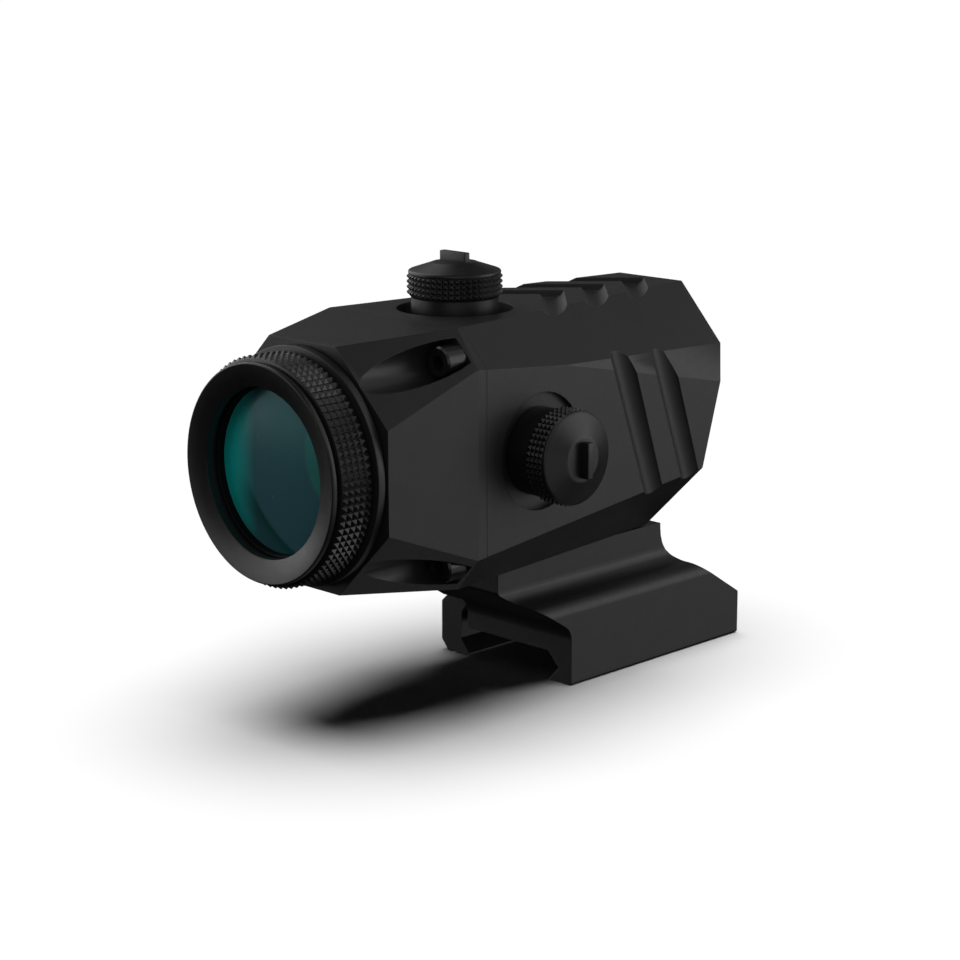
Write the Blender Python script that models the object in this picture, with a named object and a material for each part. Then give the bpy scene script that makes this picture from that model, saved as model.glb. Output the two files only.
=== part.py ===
"""A compact prism sight with an illuminated dot, on a clamp base for a standard accessory rail.

Everything is drawn in millimetres in the sight frame: y runs along the sight line from the
eyepiece face, x to the right of it, and z up from it. world() turns that into the part's own
frame, in metres, whose origin lies on the top of the rail, at the middle of the clamp's length.
"""
from math import cos, pi, radians, sin, sqrt, tan

import bmesh
import bpy
from mathutils import Euler, Matrix, Vector

# Driving dimensions, in millimetres.
MM = 0.001
SIGHT_HEIGHT = 35.25
CLAMP_CENTRE = 71.25
GAP = 0.3

# Turns that carry a piece's own Z axis to where it lies in the sight frame.
UP = (0, 0, 0)
ALONG_SIGHT = (-pi / 2, 0, 0)
TO_RIGHT = (0, pi / 2, 0)
TO_LEFT = (0, -pi / 2, 0)
FRONT_OUTLINE = (pi / 2, 0, 0)
SIDE_OUTLINE = (pi / 2, 0, pi / 2)

# Housing: an octagonal body in two halves, parted at the seam.
FRONT_FACE = 8.74
SEAM = 27.25
FRONT_EDGE_HIGH = (7.17, 8.74, 18.05)
FRONT_EDGE_LOW = (17.74, 8.74, 7.53)
CREASE_TOP = (13.67, 26.24, 19.35)
CREASE_SIDE = (18.67, 25.46, 13.89)
CREASE_SIDE_Y = 25.5
HALF_HEIGHT = 19.35
BLANK_LOW = (-30, 0, -30)
BLANK_HIGH = (30, 95, 30)
TOP_RAMP = 0.0743
SIDE_RAMP = 0.0557
SIDE_TAPER = 0.037
REAR_FACE = 84.0
REAR_LEAN = 0.315
REAR_LEAN_FOOT = 80.84
REAR_BEVEL = ((17.9, 46.4, 11.75), (15.07, 83.76, 9.7), (16.6, 82.2, 4.3))
CHAMFER_NORMAL = (0.74, 0.09, 0.67)
EDGE_ROUND = 0.4
LEAST_ROUNDED_BEND = radians(9)

# Optics bores, as radii.
EYEPIECE_BORE = 14.0
MAIN_BORE = 12.0
OBJECTIVE_BORE = 11.8
OBJECTIVE_LIP = 10.6
GASKET_SEAT = 13.95
GASKET_DEPTH = 28.1
LIP_START = 67.5
LIP_END = 69.3

# Corner screws that hold the eyepiece housing on the main housing.
CORNER_SCREW = (14.45, 15.05)
SCOOP_RADIUS = 3.1
SCOOP_END = 25.2
SCREW_HOLE = 1.25
SCREW_HOLE_END = 31.0
SCREW_HEAD = 2.3
SCREW_HEAD_TOP = 21.6
SCREW_SHANK = 1.0
SCREW_SOCKET = 1.15

# Grooves in the top and the sides.
GROOVE_RADIUS = 2.9
GROOVE_DEPTH = 1.15
CHEVRON_RADIUS = 2.2
CHEVRON_ARM = 36
CHEVRON_APEXES = (60.5, 70.0, 79.6)
SIDE_GROOVES = (61.8, 71.3)
SIDE_GROOVE_LEAN = -0.35

# Turrets: heights are distances from the sight line.
TURRET_Y = 39.2
POCKET_RADIUS = 8.85
POCKET_FLOOR = 17.0
BUSHING_HOLE = 4.5
BUSHING_BORE = 1.9
BUSHING_BOTTOM = 12.6
BUSHING_TOP = 22.4
CAP_SKIRT = 5.9
CAP_FLOOR_GAP = 0.4
CAP_KNURL = (21.4, 24.6)
CAP_ROWS = 4
CAP_NECK = 6.6
CAP_ROOT = 6.85
CAP_KNURL_HEIGHT = 0.45
CAP_DISC = 26.35
CAP_TOP = 27.85
BLADE_SIZE = (5.4, 1.1)
PLUNGER = 1.6
SEAL_CENTRE = 5.25
SEAL_THICK = 0.5

# Brightness dial on the left: its distances too are taken from the sight line.
DIAL_Y = 42.0
DIAL_GRIP = (19.2, 24.9)
DIAL_GRIP_ROOT = 9.3
DIAL_GRIP_HEIGHT = 0.4
DIAL_ROWS = 1
BATTERY = 8.0
COIN_SLOT_HALF = 0.7
DIAL_RECESS = 10.3
DIAL_RECESS_FLOOR = 17.4
BOARD_POCKET = 8.2
BOARD_POCKET_FLOOR = 14.6
WIRE_HOLE = 1.2

# Diopter ring.
RING_KNURL = (1.4, 6.95)
RING_ROWS = 5
RING_ROOT = 16.35
RING_KNURL_HEIGHT = 0.5
RING_SLIDE = 14.0
SLEEVE = (12.9, 13.7)
SLEEVE_START = 2.3
SLEEVE_END = 14.0
FLANGE_START = 7.15
FLANGE_RADIUS = 17.5
CELL_FRONT = 2.75
CELL_BACK = 20.0
CELL_OUTER = 12.6
CELL_INNER = 12.25
OCULAR_LENS = 11.95
OBJECTIVE_LENS = 11.5

# Clamp base.
BASE_TOP = -19.65
BASE_FRONT = 40.3
CLAMP_START = 50.9
CLAMP_END = 91.6
FOOT = -39.95
RAIL_TOP = -35.25
NECK_HALF = 8.0
FLANGE_HALF = 13.58
SHELF = -26.3
COVE = 2.7
SHOULDER = 2.2
BLOCK_SIDE = -9.25
CLAMP_SCREWS = (59.25, 83.25)
CLAMP_SCREW_Z = -32.9
CLAMP_SCREW_HOLE = 1.6
CLAMP_HOLE_END = -3.9
MOUNT_SCREWS = (55.25, 66.25)
MOUNT_HEAD_HOLE = 3.0
MOUNT_HEAD_SEAT = -31.7
MOUNT_SCREW_HOLE = 1.3
MOUNT_HOLE_END = -14.5

# The tube that carries the prisms pivots near the objective.
PIVOT_Y = 66.0
ERECTOR_TUBE = (8.6, 9.8)
ERECTOR_START = 33.0
ERECTOR_GLASS = 8.3
PRISM_HALF = 5.5
PRISM_SLOPE = radians(24)

# The leaf spring that bears on that tube.
SPRING_Y = (36.0, 56.0)
SPRING_FOOT = 11.4
SPRING_BOW = 1.0
SPRING_THICK = 0.25
SPRING_WIDTH = 3.0
SPRING_STEPS = 8

# Round pieces: sides of a full turn.
RING_SIDES = 48
CAP_SIDES = 30
BORE_SIDES = 40
INNER_SIDES = 24
SCREW_SIDES = 16

# Finishes: colour, roughness, metallic.
ANODISED = ((0.020, 0.020, 0.021), 0.42, 0.75)
ANODISED_KNURL = ((0.016, 0.016, 0.017), 0.38, 0.8)
BLACK_STEEL = ((0.018, 0.018, 0.019), 0.35, 0.9)
BRASS = ((0.62, 0.44, 0.16), 0.35, 1.0)
STEEL = ((0.52, 0.52, 0.53), 0.3, 1.0)
SPRING_STEEL = ((0.35, 0.36, 0.38), 0.3, 1.0)
RUBBER = ((0.012, 0.012, 0.012), 0.85, 0.0)
COATED_GLASS = ((0.03, 0.20, 0.20), 0.05, 0.0)
CLEAR_GLASS = ((0.75, 0.82, 0.82), 0.04, 0.0)
BOARD_GREEN = ((0.02, 0.12, 0.04), 0.55, 0.0)
LED_RED = ((0.60, 0.02, 0.02), 0.3, 0.0)


# --- scene and placing ---

def clear_scene():
    """Empties the scene and makes the two collections that the model uses."""
    for item in list(bpy.data.objects):
        bpy.data.objects.remove(item)
    made = []
    for name in ("prism_dot_sight", "cutters"):
        collection = bpy.data.collections.new(name)
        bpy.context.scene.collection.children.link(collection)
        made.append(collection)
    return made


PARTS, CUTTERS = clear_scene()


def world(x, y, z):
    """A point of the sight frame, in metres in the part's frame."""
    return Vector((x, y - CLAMP_CENTRE, z + SIGHT_HEIGHT)) * MM


def finish(name, look):
    """A Principled material of the piece's own."""
    colour, roughness, metallic = look
    material = bpy.data.materials.new(name + "_finish")
    material.use_nodes = True
    shader = material.node_tree.nodes["Principled BSDF"]
    shader.inputs["Base Color"].default_value = (*colour, 1.0)
    shader.inputs["Roughness"].default_value = roughness
    shader.inputs["Metallic"].default_value = metallic
    return material


def mesh_from(name, shape):
    """Turns a shape in millimetres into a mesh in metres, smooth but for its real edges."""
    bmesh.ops.scale(shape, vec=(MM, MM, MM), verts=shape.verts)
    mesh = bpy.data.meshes.new(name)
    shape.to_mesh(mesh)
    shape.free()
    mesh.shade_smooth()
    mesh.set_sharp_from_angle(angle=radians(32))
    return mesh


def place(name, mesh, at=(0, 0, 0), turn=UP, parent=None):
    """Adds one named piece, with its own origin at a point of the sight frame."""
    item = bpy.data.objects.new(name, mesh)
    item.location = world(*at)
    item.rotation_euler = turn
    PARTS.objects.link(item)
    if parent:
        item.parent = parent
        item.matrix_parent_inverse = Matrix.Translation(parent.location).inverted()
    return item


def piece(name, shape, look, at=(0, 0, 0), turn=UP, parent=None):
    """A piece with a mesh and a finish of its own."""
    mesh = mesh_from(name, shape)
    mesh.materials.append(finish(name, look))
    return place(name, mesh, at, turn, parent)


def cutter(name, shape, at=(0, 0, 0), turn=UP):
    """A guide that only shapes other pieces."""
    item = bpy.data.objects.new(name, mesh_from(name, shape))
    item.location = world(*at)
    item.rotation_euler = turn
    item.hide_render = True
    item.display_type = "WIRE"
    CUTTERS.objects.link(item)
    return item


def combine(item, guides, operation="DIFFERENCE"):
    """Cuts a piece by its guides, or joins or intersects it with them."""
    for guide in guides:
        modifier = item.modifiers.new(guide.name, "BOOLEAN")
        modifier.operation = operation
        modifier.solver = "EXACT"
        modifier.object = guide


def empty(name, at):
    """A pivot point that pieces hang on."""
    item = bpy.data.objects.new(name, None)
    item.location = world(*at)
    PARTS.objects.link(item)
    return item


# --- shapes, all in millimetres ---

def turned(profile, sides, closed=False):
    """A profile of (radius, height) pairs turned about Z. A closed profile makes a ring."""
    shape = bmesh.new()
    points = [shape.verts.new((radius, 0, height)) for radius, height in profile]
    lines = [shape.edges.new(pair) for pair in zip(points, points[1:])]
    if closed:
        lines.append(shape.edges.new((points[-1], points[0])))
    bmesh.ops.spin(shape, geom=points + lines, cent=(0, 0, 0), axis=(0, 0, 1), angle=2 * pi, steps=sides)
    bmesh.ops.remove_doubles(shape, verts=shape.verts, dist=1e-4)
    bmesh.ops.recalc_face_normals(shape, faces=shape.faces)
    return shape


def rod(radius, start, end, sides):
    """A plain round bar from one height to another."""
    return turned([(0, start), (radius, start), (radius, end), (0, end)], sides)


def tube(inner, outer, start, end, sides):
    """A plain ring or tube."""
    return turned([(inner, start), (outer, start), (outer, end), (inner, end)], sides, closed=True)


def box(low, high):
    """A block between two corners."""
    shape = bmesh.new()
    bmesh.ops.create_cube(shape, size=1)
    size = Vector(high) - Vector(low)
    bmesh.ops.scale(shape, vec=size, verts=shape.verts)
    bmesh.ops.translate(shape, vec=Vector(low) + size / 2, verts=shape.verts)
    return shape


def bands(low, high, rows):
    """Heights that split a stretch into equal rows."""
    return [low + (high - low) * row / rows for row in range(rows + 1)]


def knurl(shape, low, high, height):
    """Raises a pyramid on each face of a round band."""
    rows = [face for face in shape.faces if low < face.calc_center_median().z < high
            and abs(face.normal.z) < 0.1 and face.normal.dot(face.calc_center_median()) > 0]
    bmesh.ops.poke(shape, faces=rows, offset=height, center_mode="MEAN", use_relative_offset=False)


def rounded(corners, steps=5):
    """An outline whose corners, given as (x, y, radius), are arcs where the radius isn't zero."""
    outline = []
    count = len(corners)
    for index, (x, y, radius) in enumerate(corners):
        here = Vector((x, y))
        if not radius:
            outline.append(here)
            continue
        before = (Vector(corners[index - 1][:2]) - here).normalized()
        after = (Vector(corners[(index + 1) % count][:2]) - here).normalized()
        half = before.angle(after) / 2
        centre = here + (before + after).normalized() * radius / sin(half)
        start = here + before * radius / tan(half) - centre
        sweep = start.angle_signed(here + after * radius / tan(half) - centre)
        outline += [centre + Matrix.Rotation(-sweep * step / steps, 2) @ start for step in range(steps + 1)]
    return outline


def extruded(outline, depth):
    """A flat outline in X and Y, made solid from z = 0 to the depth."""
    curve = bpy.data.curves.new("outline", "CURVE")
    curve.dimensions = "2D"
    curve.fill_mode = "BOTH"
    curve.extrude = depth / 2
    spline = curve.splines.new("POLY")
    spline.points.add(len(outline) - 1)
    for point, (x, y) in zip(spline.points, outline):
        point.co = (x, y, 0, 1)
    spline.use_cyclic_u = True
    item = bpy.data.objects.new("outline", curve)
    bpy.context.scene.collection.objects.link(item)
    solid = item.evaluated_get(bpy.context.evaluated_depsgraph_get())
    mesh = bpy.data.meshes.new_from_object(solid)
    bpy.data.objects.remove(item)
    shape = bmesh.new()
    shape.from_mesh(mesh)
    bmesh.ops.remove_doubles(shape, verts=shape.verts, dist=1e-4)
    bmesh.ops.translate(shape, vec=(0, 0, depth / 2), verts=shape.verts)
    bmesh.ops.recalc_face_normals(shape, faces=shape.faces)
    return shape


def trim(shape, point, normal, close=True):
    """Cuts away what lies beyond a plane, and closes the cut."""
    everything = shape.verts[:] + shape.edges[:] + shape.faces[:]
    cut = bmesh.ops.bisect_plane(shape, geom=everything, plane_co=point, plane_no=normal,
                                 clear_outer=True, dist=1e-5)
    if close:
        rim = [item for item in cut["geom_cut"] if isinstance(item, bmesh.types.BMEdge)]
        bmesh.ops.edgeloop_fill(shape, edges=rim)


def facing_out(a, b, c, inside):
    """The plane through three points, with its normal away from an inner point."""
    a, b, c = Vector(a), Vector(b), Vector(c)
    normal = (b - a).cross(c - a).normalized()
    if normal.dot(a - Vector(inside)) < 0:
        normal.negate()
    return a, normal


def mirrored(plane, sides="xz"):
    """A plane with its mirror images across the sight's middle planes."""
    planes = [plane]
    if "x" in sides:
        planes += [(flip(point, 0), flip(normal, 0)) for point, normal in planes]
    if "z" in sides:
        planes += [(flip(point, 2), flip(normal, 2)) for point, normal in planes]
    return planes


def flip(vector, axis):
    """A vector with one of its coordinates reversed."""
    turned_over = Vector(vector)
    turned_over[axis] = -turned_over[axis]
    return turned_over


def arc_across(radius, sag, start, steps):
    """Half of a lens face: (radius, height) pairs from the axis out, curving by the sag."""
    curve = (radius ** 2 + sag ** 2) / (2 * abs(sag))
    side = 1 if sag > 0 else -1
    points = []
    for step in range(steps + 1):
        out = radius * step / steps
        points.append((out, start + side * (curve - sqrt(curve ** 2 - out ** 2))))
    return points


# --- housing ---

def housing_planes():
    """The flat faces of the body that both housings are cut from."""
    inside = (0, 50, 0)
    side = (CREASE_SIDE[0], CREASE_SIDE_Y, 0)
    planes = [((0, FRONT_FACE, 0), (0, -1, 0)), ((0, REAR_FACE, 0), (0, 1, 0))]
    planes.append(((0, REAR_LEAN_FOOT, 0), (0, 1, -REAR_LEAN)))
    planes += mirrored(facing_out(FRONT_EDGE_HIGH, FRONT_EDGE_LOW, CREASE_TOP, inside))
    planes += mirrored((FRONT_EDGE_HIGH, (0, -TOP_RAMP, 1)), "z")
    planes += mirrored((FRONT_EDGE_LOW, (1, -SIDE_RAMP, 0)), "x")
    planes += mirrored(((0, 0, HALF_HEIGHT), (0, 0, 1)), "z")
    planes += mirrored((side, (1, SIDE_TAPER, 0)), "x")
    planes += mirrored((CREASE_TOP, CHAMFER_NORMAL))
    planes += mirrored(facing_out(*REAR_BEVEL, inside), "x")
    return planes


def housing_blank():
    """The whole body with its edges rounded, before it is parted at the seam."""
    blank = box(BLANK_LOW, BLANK_HIGH)
    for point, normal in housing_planes():
        trim(blank, point, Vector(normal))
    corners = [edge for edge in blank.edges if edge.calc_face_angle() > LEAST_ROUNDED_BEND]
    bmesh.ops.bevel(blank, geom=corners, offset=EDGE_ROUND, segments=2, profile=0.5, affect="EDGES",
                    clamp_overlap=True)
    bmesh.ops.recalc_face_normals(blank, faces=blank.faces)
    return blank


def chevron(apex):
    """A round-bottomed groove across the top: two arms that meet at 45 degrees."""
    shape = rod(CHEVRON_RADIUS, -8, CHEVRON_ARM, INNER_SIDES)
    bmesh.ops.rotate(shape, matrix=Matrix.Rotation(pi / 2, 3, "X"), verts=shape.verts)
    bmesh.ops.rotate(shape, matrix=Matrix.Rotation(pi / 4, 3, "Z"), verts=shape.verts)
    trim(shape, (0, 0, 0), Vector((-1, 0, 0)), close=False)
    everything = shape.verts[:] + shape.edges[:] + shape.faces[:]
    bmesh.ops.mirror(shape, geom=everything, axis="X", merge_dist=1e-4)
    bmesh.ops.recalc_face_normals(shape, faces=shape.faces)
    height = HALF_HEIGHT + CHEVRON_RADIUS - GROOVE_DEPTH
    return cutter("chevron_cutter", shape, (0, apex, height))


def side_groove(side, y):
    """A leaning round-bottomed groove across one side."""
    face = CREASE_SIDE[0] - SIDE_TAPER * (y - CREASE_SIDE_Y)
    x = side * (face + GROOVE_RADIUS - GROOVE_DEPTH)
    lean = Matrix.Rotation(-SIDE_GROOVE_LEAN, 3, "X").to_euler()
    return cutter("side_groove_cutter", rod(GROOVE_RADIUS, -30, 30, INNER_SIDES), (x, y, 0), lean)


def main_bore():
    """The stepped bore, from the gasket's seat through to the objective's."""
    profile = [(0, SEAM - 1), (GASKET_SEAT, SEAM - 1), (GASKET_SEAT, GASKET_DEPTH), (MAIN_BORE, GASKET_DEPTH),
               (MAIN_BORE, LIP_START), (OBJECTIVE_LIP, LIP_START), (OBJECTIVE_LIP, LIP_END),
               (OBJECTIVE_BORE, LIP_END), (OBJECTIVE_BORE, REAR_FACE + 6), (0, REAR_FACE + 6)]
    return cutter("main_bore_cutter", turned(profile, BORE_SIDES), turn=ALONG_SIGHT)


def turret_pocket(turn):
    """A turret's round pocket, and the bushing's hole in its floor."""
    profile = [(0, MAIN_BORE - 1.5), (BUSHING_HOLE, MAIN_BORE - 1.5), (BUSHING_HOLE, POCKET_FLOOR),
               (POCKET_RADIUS, POCKET_FLOOR), (POCKET_RADIUS, CAP_DISC), (0, CAP_DISC)]
    return cutter("turret_cutter", turned(profile, BORE_SIDES), (0, TURRET_Y, 0), turn)


def dial_pocket():
    """The dial's shallow recess, the board's pocket under it and the wire's hole to the bore."""
    profile = [(0, MAIN_BORE - 1), (WIRE_HOLE, MAIN_BORE - 1), (WIRE_HOLE, BOARD_POCKET_FLOOR),
               (BOARD_POCKET, BOARD_POCKET_FLOOR), (BOARD_POCKET, DIAL_RECESS_FLOOR),
               (DIAL_RECESS, DIAL_RECESS_FLOOR), (DIAL_RECESS, 24), (0, 24)]
    return cutter("dial_cutter", turned(profile, 40), (0, DIAL_Y, 0), TO_LEFT)


def corners_of(x, z):
    """The four corners that a corner screw sits in."""
    return [(side * x, level * z) for level in (1, -1) for side in (1, -1)]


def main_housing():
    """The larger housing: turrets, prisms and objective are in it."""
    blank = housing_blank()
    trim(blank, (0, SEAM + GAP / 2, 0), Vector((0, -1, 0)))
    housing = piece("main_housing", blank, ANODISED)
    combine(housing, [main_bore(), turret_pocket(UP), turret_pocket(TO_RIGHT), dial_pocket()])
    combine(housing, [chevron(apex) for apex in CHEVRON_APEXES])
    combine(housing, [side_groove(side, y) for side in (1, -1) for y in SIDE_GROOVES])
    for x, z in corners_of(*CORNER_SCREW):
        hole = rod(SCREW_HOLE, SEAM - 1, SCREW_HOLE_END, SCREW_SIDES)
        combine(housing, [cutter("screw_hole_cutter", hole, (x, 0, z), ALONG_SIGHT)])
    for y in MOUNT_SCREWS:
        hole = rod(MOUNT_SCREW_HOLE, -HALF_HEIGHT - 1, MOUNT_HOLE_END, SCREW_SIDES)
        combine(housing, [cutter("mount_hole_cutter", hole, (0, y, 0))])


def eyepiece_housing():
    """The smaller housing, with a scoop at each corner for a screw."""
    blank = housing_blank()
    trim(blank, (0, SEAM - GAP / 2, 0), Vector((0, 1, 0)))
    housing = piece("eyepiece_housing", blank, ANODISED)
    bore = rod(EYEPIECE_BORE, 0, SEAM + 5, BORE_SIDES)
    combine(housing, [cutter("eyepiece_bore_cutter", bore, turn=ALONG_SIGHT)])
    scoop = [(0, 0), (SCOOP_RADIUS, 0), (SCOOP_RADIUS, SCOOP_END), (SCREW_HOLE, SCOOP_END),
             (SCREW_HOLE, SEAM + 5), (0, SEAM + 5)]
    for x, z in corners_of(*CORNER_SCREW):
        combine(housing, [cutter("scoop_cutter", turned(scoop, INNER_SIDES), (x, 0, z), ALONG_SIGHT)])


def cap_screw(head_radius, outer, seat, shank_radius, tip, socket):
    """A cap screw along Z, from its head's outer face past the seat to the tip, and its hex socket."""
    inward = 1 if seat > outer else -1
    ease = 0.12 * head_radius
    profile = [(0, outer), (head_radius - ease, outer), (head_radius, outer + inward * ease),
               (head_radius, seat), (shank_radius, seat), (shank_radius, tip), (0, tip)]
    socket_low, socket_high = sorted((outer - inward, outer + 0.6 * (seat - outer)))
    return turned(profile, SCREW_SIDES), rod(socket, socket_low, socket_high, 6)


def housing_screws():
    """Four corner screws, which share one mesh."""
    shape, socket = cap_screw(SCREW_HEAD, SCREW_HEAD_TOP, SCOOP_END - 0.2, SCREW_SHANK,
                              SCREW_HOLE_END - 0.4, SCREW_SOCKET)
    mesh = mesh_from("housing_screw", shape)
    mesh.materials.append(finish("housing_screw", BLACK_STEEL))
    names = ("upper_right", "upper_left", "lower_right", "lower_left")
    socket_mesh = mesh_from("socket_cutter", socket)
    for name, (x, z) in zip(names, corners_of(*CORNER_SCREW)):
        screw = place("housing_screw_" + name, mesh, (x, 0, z), ALONG_SIGHT)
        guide = cutter("socket_" + name, bmesh.new(), (x, 0, z), ALONG_SIGHT)
        guide.data = socket_mesh
        combine(screw, [guide])


def housing_gasket():
    """The flat seal between the two housings."""
    ring = tube(MAIN_BORE + 0.75, GASKET_SEAT - 0.2, SEAM, GASKET_DEPTH - 0.15, BORE_SIDES)
    piece("housing_gasket", ring, RUBBER, turn=ALONG_SIGHT)


# --- eyepiece ---

def diopter_ring():
    """The knurled ring that the eye looks into; turning it moves the ocular."""
    rows = [(RING_ROOT, y) for y in bands(*RING_KNURL, RING_ROWS)]
    profile = [(12.4, 0.9), (15.7, 0.0), (16.0, 0.3), (16.0, 0.85), (15.5, 0.95), (15.5, 1.25)]
    profile += rows + [(RING_SLIDE, RING_KNURL[1]), (RING_SLIDE, 2.0), (12.4, 2.0)]
    shape = turned(profile, RING_SIDES, closed=True)
    knurl(shape, *RING_KNURL, RING_KNURL_HEIGHT)
    piece("diopter_ring", shape, ANODISED_KNURL, turn=ALONG_SIGHT)


def eyepiece_flange():
    """The fixed ring behind the diopter ring, with the sleeve that the ring turns on."""
    inner, outer = SLEEVE
    back = FRONT_FACE - GAP
    profile = [(inner, SLEEVE_START), (outer, SLEEVE_START), (outer, FLANGE_START),
               (FLANGE_RADIUS, FLANGE_START), (FLANGE_RADIUS, back), (outer, back), (outer, SLEEVE_END),
               (inner, SLEEVE_END)]
    piece("eyepiece_flange", turned(profile, RING_SIDES, closed=True), ANODISED, turn=ALONG_SIGHT)


def ocular_cell():
    """The sliding tube that holds the ocular's two lenses, with a thin lip in front of them."""
    lip_inner = OCULAR_LENS - 0.2
    lip_back = CELL_FRONT + 0.3
    profile = [(lip_inner, lip_back), (lip_inner + 0.1, CELL_FRONT), (CELL_OUTER, CELL_FRONT),
               (CELL_OUTER, CELL_BACK), (CELL_INNER, CELL_BACK), (CELL_INNER, lip_back)]
    piece("ocular_cell", turned(profile, INNER_SIDES + 8, closed=True), ANODISED, turn=ALONG_SIGHT)


def lens(name, radius, front, back, front_sag, back_sag, look=CLEAR_GLASS, parent=None, sides=INNER_SIDES):
    """A lens along the sight line: front and back are where its faces cross the axis."""
    near = arc_across(radius, front_sag, front, 3)
    far = arc_across(radius, back_sag, back, 3)
    piece(name, turned(near + far[::-1], sides), look, turn=ALONG_SIGHT, parent=parent)


def retainer(name, inner, outer, start, end, look=ANODISED):
    """A threaded ring with two spanner notches."""
    ring = piece(name, tube(inner, outer, start, end, INNER_SIDES + 8), look, turn=ALONG_SIGHT)
    notch = box((-outer - 1, end - 0.6, -0.6), (outer + 1, end + 1, 0.6))
    combine(ring, [cutter(name + "_notch", notch)])


# --- turrets ---

def turret(name, turn):
    """One adjuster: cap, bushing, slotted screw, plunger and seal, all on one axis."""
    at = (0, TURRET_Y, 0)
    foot = POCKET_FLOOR + CAP_FLOOR_GAP
    rows = [(CAP_ROOT, height) for height in bands(*CAP_KNURL, CAP_ROWS)]
    profile = [(0, 24.6), (4.0, 24.6), (4.55, 24.0), (4.55, 18.6), (CAP_SKIRT, 18.6), (CAP_SKIRT, foot),
               (CAP_NECK, foot), (CAP_NECK, CAP_KNURL[0] - 0.25)]
    profile += rows + [(3.35, CAP_DISC), (0, CAP_DISC)]
    shape = turned(profile, CAP_SIDES)
    knurl(shape, *CAP_KNURL, CAP_KNURL_HEIGHT)
    cap = piece(name + "_cap", shape, ANODISED_KNURL, at, turn)
    length, width = BLADE_SIZE
    blade = box((-length / 2, -width / 2, CAP_DISC - 0.8), (length / 2, width / 2, CAP_TOP))
    combine(cap, [cutter(name + "_blade", blade, at, turn)], "UNION")

    outer = BUSHING_HOLE - GAP
    bore = [(BUSHING_BORE, BUSHING_BOTTOM), (outer, BUSHING_BOTTOM), (outer, BUSHING_TOP),
            (outer - 0.6, BUSHING_TOP), (outer - 0.6, 18.0), (BUSHING_BORE, 18.0)]
    piece(name + "_bushing", turned(bore, INNER_SIDES, closed=True), BRASS, at, turn)

    head = [(0, 20.6), (1.9, 20.6), (1.9, 18.3), (3.3, 18.3), (3.3, BUSHING_TOP - 0.4),
            (0, BUSHING_TOP - 0.4)]
    screw = piece(name + "_screw", turned(head, INNER_SIDES - 4), BRASS, at, turn)
    slot = box((-4, -0.4, 21.2), (4, 0.4, 23))
    combine(screw, [cutter(name + "_slot", slot, at, turn)])

    plunger = [(0, 10.1), (PLUNGER - 0.6, 10.1), (PLUNGER, 10.7), (PLUNGER, 20.0), (0, 20.0)]
    piece(name + "_plunger", turned(plunger, SCREW_SIDES), STEEL, at, turn)

    middle = POCKET_FLOOR + 1.5 * SEAL_THICK
    turns = [pi * step / 3 for step in range(6)]
    loop = [(SEAL_CENTRE + SEAL_THICK * cos(by), middle + SEAL_THICK * sin(by)) for by in turns]
    piece(name + "_seal", turned(loop, INNER_SIDES, closed=True), RUBBER, at, turn)


# --- brightness dial ---

def brightness_dial():
    """The rotary switch on the left, with the battery in it."""
    at = (0, DIAL_Y, 0)
    rows = [(DIAL_GRIP_ROOT, height) for height in bands(*DIAL_GRIP, DIAL_ROWS)]
    profile = [(3.0, 18.9), (8.9, 18.9), (8.9, 17.8), (9.7, 17.8), (9.7, 18.9)] + rows
    profile += [(9.6, 25.1), (9.6, 25.4), (9.3, 25.6), (8.7, 25.6), (8.7, 21.4), (3.0, 21.4)]
    shape = turned(profile, CAP_SIDES, closed=True)
    knurl(shape, *DIAL_GRIP, DIAL_GRIP_HEIGHT)
    piece("brightness_dial", shape, ANODISED_KNURL, at, TO_LEFT)

    cell = [(0, 21.7), (BATTERY - 1, 21.7), (BATTERY - 1, 21.9), (BATTERY, 21.9), (BATTERY, 23.7), (0, 23.7)]
    piece("battery", turned(cell, INNER_SIDES), STEEL, at, TO_LEFT)

    lid = turned([(0, 24.0), (8.4, 24.0), (8.4, 25.6), (8.1, 25.9), (0, 25.9)], INNER_SIDES + 8)
    cap = piece("battery_cap", lid, ANODISED, at, TO_LEFT)
    slot = cutter("coin_slot", box((-6, -COIN_SLOT_HALF, 25.1), (6, COIN_SLOT_HALF, 27)), at, TO_LEFT)
    combine(cap, [slot])

    pin = [(0, 16.7), (2.2, 16.7), (2.2, 17.2), (1.1, 17.6), (1.1, 20.9), (0.6, 21.4), (0, 21.4)]
    piece("battery_contact", turned(pin, SCREW_SIDES), SPRING_STEEL, at, TO_LEFT)
    piece("led_board", rod(7.8, 15.3, 16.4, INNER_SIDES), BOARD_GREEN, at, TO_LEFT)


# --- prisms, reticle and the tube that carries them ---

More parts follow.
